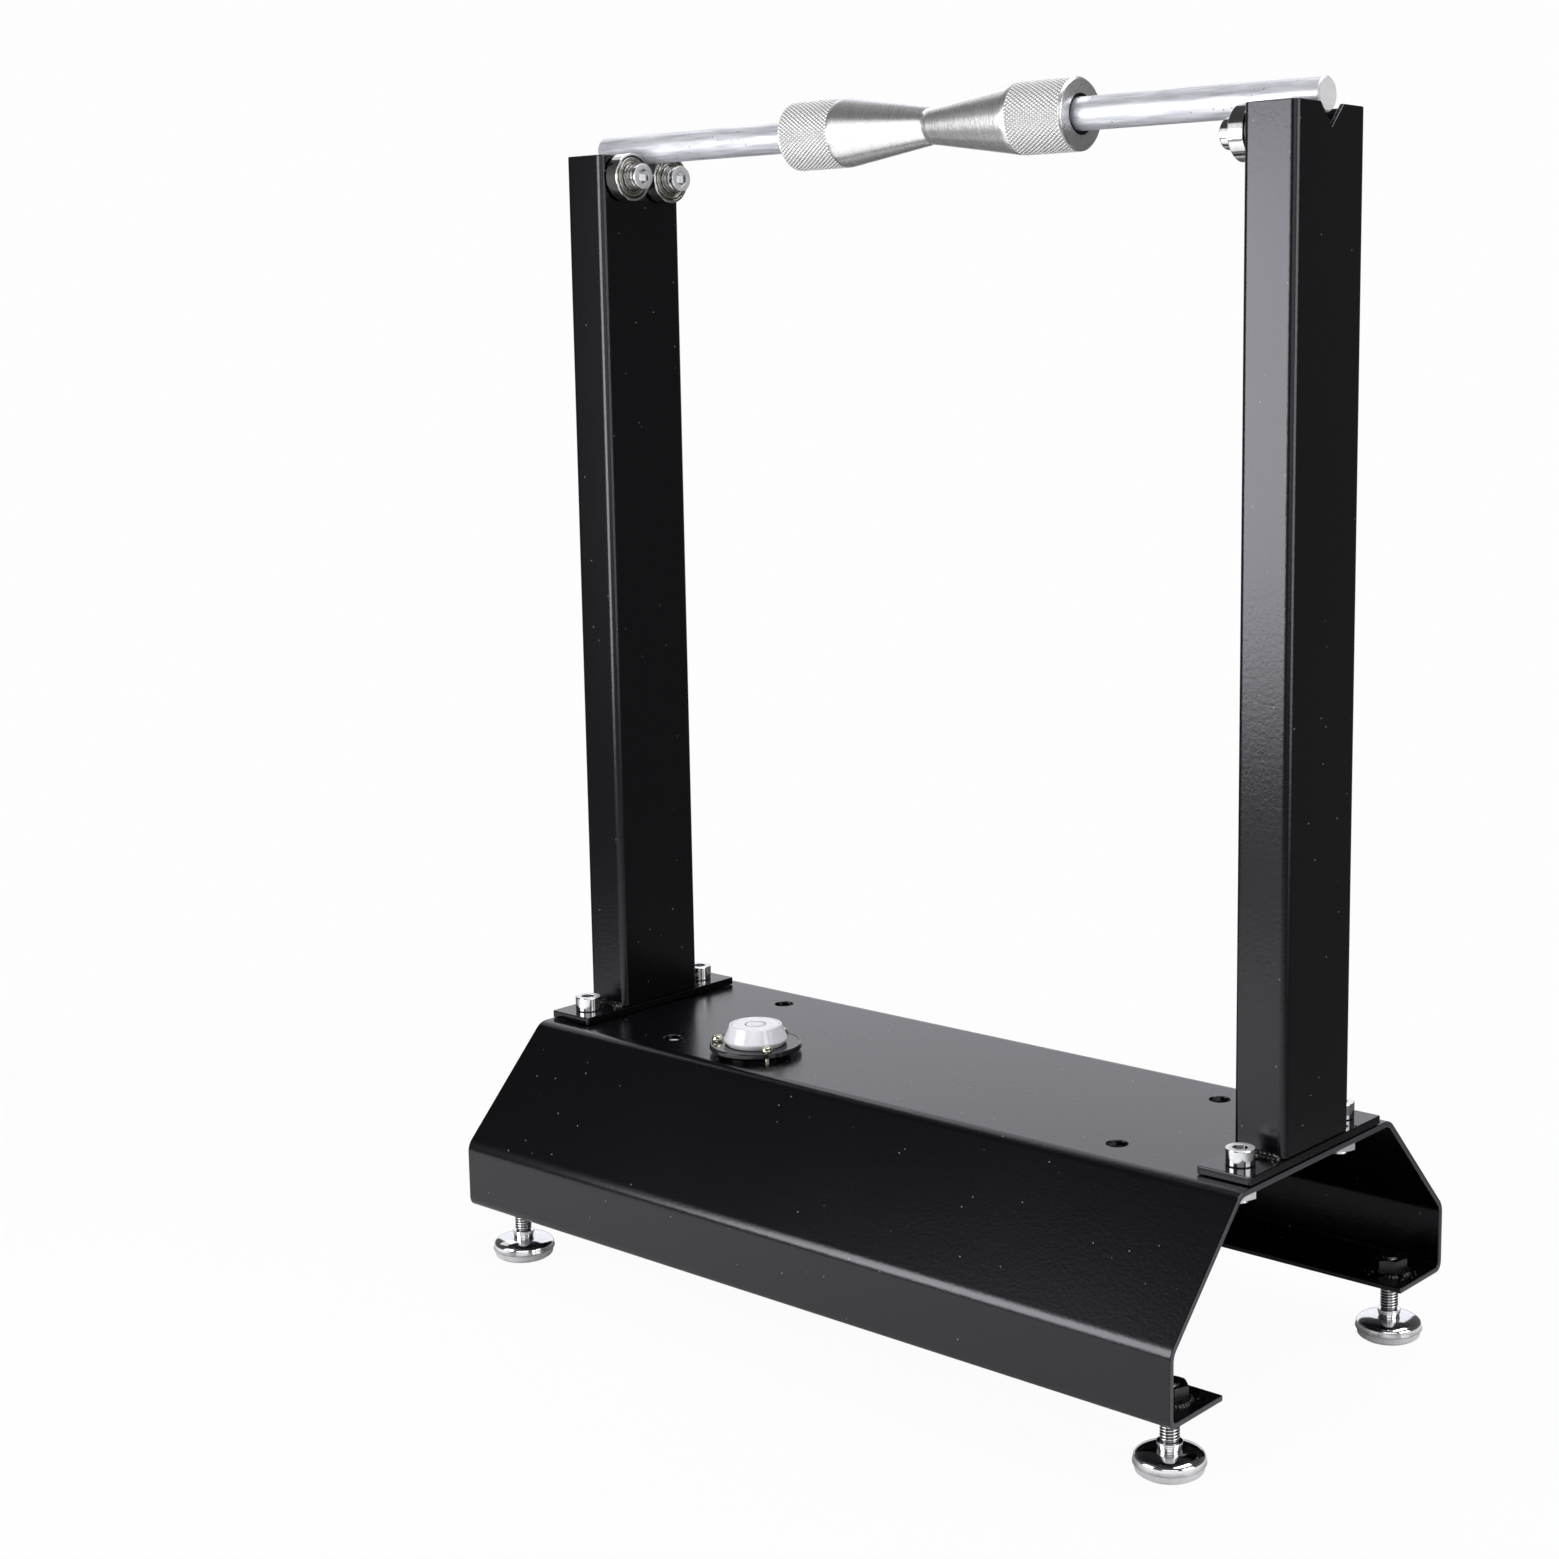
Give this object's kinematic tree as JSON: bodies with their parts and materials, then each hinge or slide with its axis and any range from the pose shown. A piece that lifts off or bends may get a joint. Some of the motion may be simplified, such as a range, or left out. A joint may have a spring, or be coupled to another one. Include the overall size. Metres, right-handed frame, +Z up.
{
  "type": "motorcycle wheel balancer",
  "caption": "Free-standing wheel balancer: bent-sheet base on levelling feet, posts with bearing pairs, and a shaft with sliding centring cones.",
  "frame": {"origin": "centre of the footprint, on the surface that the feet stand on", "axes": "+X along the shaft to the right, +Y to the back, +Z up"},
  "size_m": [0.401, 0.21, 0.5358],
  "materials": {
    "powder_coat": "black semi-gloss powder coat with fine orange peel",
    "black_steel": "black oxide or coated steel",
    "ground_steel": "ground and lightly scratched steel",
    "polished_steel": "bright turned steel, knurled at the grip",
    "ring_steel": "ground bearing steel with pressed shields",
    "ball_steel": "polished balls and cage",
    "zinc": "bright zinc plate",
    "chrome": "mirror chrome",
    "pad_plastic": "pale translucent plastic",
    "level_plastic": "dark glossy plastic",
    "vial_plastic": "white translucent plastic"
  },
  "bodies": {
    "frame": {"base_channel": "powder_coat", "post_tube_left": "powder_coat", "post_tube_right": "powder_coat", "foot_plate_left": "powder_coat", "foot_plate_right": "powder_coat", "plate_screw_front_left": "zinc", "plate_screw_back_left": "zinc", "plate_screw_front_right": "zinc", "plate_screw_back_right": "zinc", "plate_nut_front_left": "zinc", "plate_nut_back_left": "zinc", "plate_nut_front_right": "zinc", "plate_nut_back_right": "zinc", "bearing_screw_front_left": "zinc", "bearing_screw_back_left": "zinc", "bearing_screw_front_right": "zinc", "bearing_screw_back_right": "zinc", "bearing_nut_front_left": "zinc", "bearing_nut_back_left": "zinc", "bearing_nut_front_right": "zinc", "bearing_nut_back_right": "zinc", "bearing_shim_front_left": "zinc", "bearing_shim_back_left": "zinc", "bearing_shim_front_right": "zinc", "bearing_shim_back_right": "zinc", "bearing_inner_front_left": "ring_steel", "bearing_inner_back_left": "ring_steel", "bearing_inner_front_right": "ring_steel", "bearing_inner_back_right": "ring_steel", "weld_nut_front_left": "black_steel", "weld_nut_back_left": "black_steel", "weld_nut_front_right": "black_steel", "weld_nut_back_right": "black_steel", "level_flange": "level_plastic", "level_vial": "vial_plastic", "level_screw_1": "zinc", "level_screw_2": "zinc", "level_screw_3": "zinc"},
    "shaft": {"shaft": "ground_steel"},
    "cone_left": {"cone_left": "polished_steel"},
    "cone_right": {"cone_right": "polished_steel"},
    "set_screw_left": {"set_screw_left": "black_steel"},
    "set_screw_right": {"set_screw_right": "black_steel"},
    "bearing_outer_front_left": {"bearing_outer_front_left": "ring_steel"},
    "bearing_outer_back_left": {"bearing_outer_back_left": "ring_steel"},
    "bearing_outer_front_right": {"bearing_outer_front_right": "ring_steel"},
    "bearing_outer_back_right": {"bearing_outer_back_right": "ring_steel"},
    "bearing_balls_front_left": {"bearing_balls_front_left": "ball_steel"},
    "bearing_balls_back_left": {"bearing_balls_back_left": "ball_steel"},
    "bearing_balls_front_right": {"bearing_balls_front_right": "ball_steel"},
    "bearing_balls_back_right": {"bearing_balls_back_right": "ball_steel"},
    "foot_front_left": {"foot_stud_front_left": "chrome", "foot_pad_front_left": "pad_plastic"},
    "foot_back_left": {"foot_stud_back_left": "chrome", "foot_pad_back_left": "pad_plastic"},
    "foot_front_right": {"foot_stud_front_right": "chrome", "foot_pad_front_right": "pad_plastic"},
    "foot_back_right": {"foot_stud_back_right": "chrome", "foot_pad_back_right": "pad_plastic"}
  },
  "joints": [
    {"name": "shaft_spin", "type": "hinge", "parent": "frame", "child": "shaft", "pos_m": [0, 0, 0.52077], "axis": [1, 0, 0], "continuous": true},
    {"name": "cone_left_slide", "type": "slide", "parent": "shaft", "child": "cone_left", "axis": [-1, 0, 0], "range_m": [0, 0.0864]},
    {"name": "cone_right_slide", "type": "slide", "parent": "shaft", "child": "cone_right", "axis": [1, 0, 0], "range_m": [0, 0.0775]},
    {"name": "set_screw_left_travel", "type": "slide", "parent": "cone_left", "child": "set_screw_left", "axis": [0, 0, 1], "range_m": [0, 0.0015]},
    {"name": "set_screw_right_travel", "type": "slide", "parent": "cone_right", "child": "set_screw_right", "axis": [0, 0, 1], "range_m": [0, 0.0015]},
    {"name": "ring_front_left_spin", "type": "hinge", "parent": "frame", "child": "bearing_outer_front_left", "pos_m": [-0.1704, -0.0122, 0.5074], "axis": [1, 0, 0], "continuous": true},
    {"name": "ring_back_left_spin", "type": "hinge", "parent": "frame", "child": "bearing_outer_back_left", "pos_m": [-0.1704, 0.0122, 0.5074], "axis": [1, 0, 0], "continuous": true},
    {"name": "ring_front_right_spin", "type": "hinge", "parent": "frame", "child": "bearing_outer_front_right", "pos_m": [0.1704, -0.0122, 0.5074], "axis": [1, 0, 0], "continuous": true},
    {"name": "ring_back_right_spin", "type": "hinge", "parent": "frame", "child": "bearing_outer_back_right", "pos_m": [0.1704, 0.0122, 0.5074], "axis": [1, 0, 0], "continuous": true},
    {"name": "balls_front_left_spin", "type": "hinge", "parent": "frame", "child": "bearing_balls_front_left", "pos_m": [-0.1704, -0.0122, 0.5074], "axis": [1, 0, 0], "continuous": true},
    {"name": "balls_back_left_spin", "type": "hinge", "parent": "frame", "child": "bearing_balls_back_left", "pos_m": [-0.1704, 0.0122, 0.5074], "axis": [1, 0, 0], "continuous": true},
    {"name": "balls_front_right_spin", "type": "hinge", "parent": "frame", "child": "bearing_balls_front_right", "pos_m": [0.1704, -0.0122, 0.5074], "axis": [1, 0, 0], "continuous": true},
    {"name": "balls_back_right_spin", "type": "hinge", "parent": "frame", "child": "bearing_balls_back_right", "pos_m": [0.1704, 0.0122, 0.5074], "axis": [1, 0, 0], "continuous": true},
    {"name": "foot_front_left_height", "type": "slide", "parent": "frame", "child": "foot_front_left", "axis": [0, 0, 1], "range_m": [-0.005, 0.008]},
    {"name": "foot_back_left_height", "type": "slide", "parent": "frame", "child": "foot_back_left", "axis": [0, 0, 1], "range_m": [-0.005, 0.008]},
    {"name": "foot_front_right_height", "type": "slide", "parent": "frame", "child": "foot_front_right", "axis": [0, 0, 1], "range_m": [-0.005, 0.008]},
    {"name": "foot_back_right_height", "type": "slide", "parent": "frame", "child": "foot_back_right", "axis": [0, 0, 1], "range_m": [-0.005, 0.008]}
  ],
  "couplings": [
    {"joint": "ring_front_left_spin", "follows": "shaft_spin", "ratio": -0.6182},
    {"joint": "ring_back_left_spin", "follows": "shaft_spin", "ratio": -0.6182},
    {"joint": "ring_front_right_spin", "follows": "shaft_spin", "ratio": -0.6182},
    {"joint": "ring_back_right_spin", "follows": "shaft_spin", "ratio": -0.6182},
    {"joint": "balls_front_left_spin", "follows": "shaft_spin", "ratio": -0.389},
    {"joint": "balls_back_left_spin", "follows": "shaft_spin", "ratio": -0.389},
    {"joint": "balls_front_right_spin", "follows": "shaft_spin", "ratio": -0.389},
    {"joint": "balls_back_right_spin", "follows": "shaft_spin", "ratio": -0.389}
  ]
}
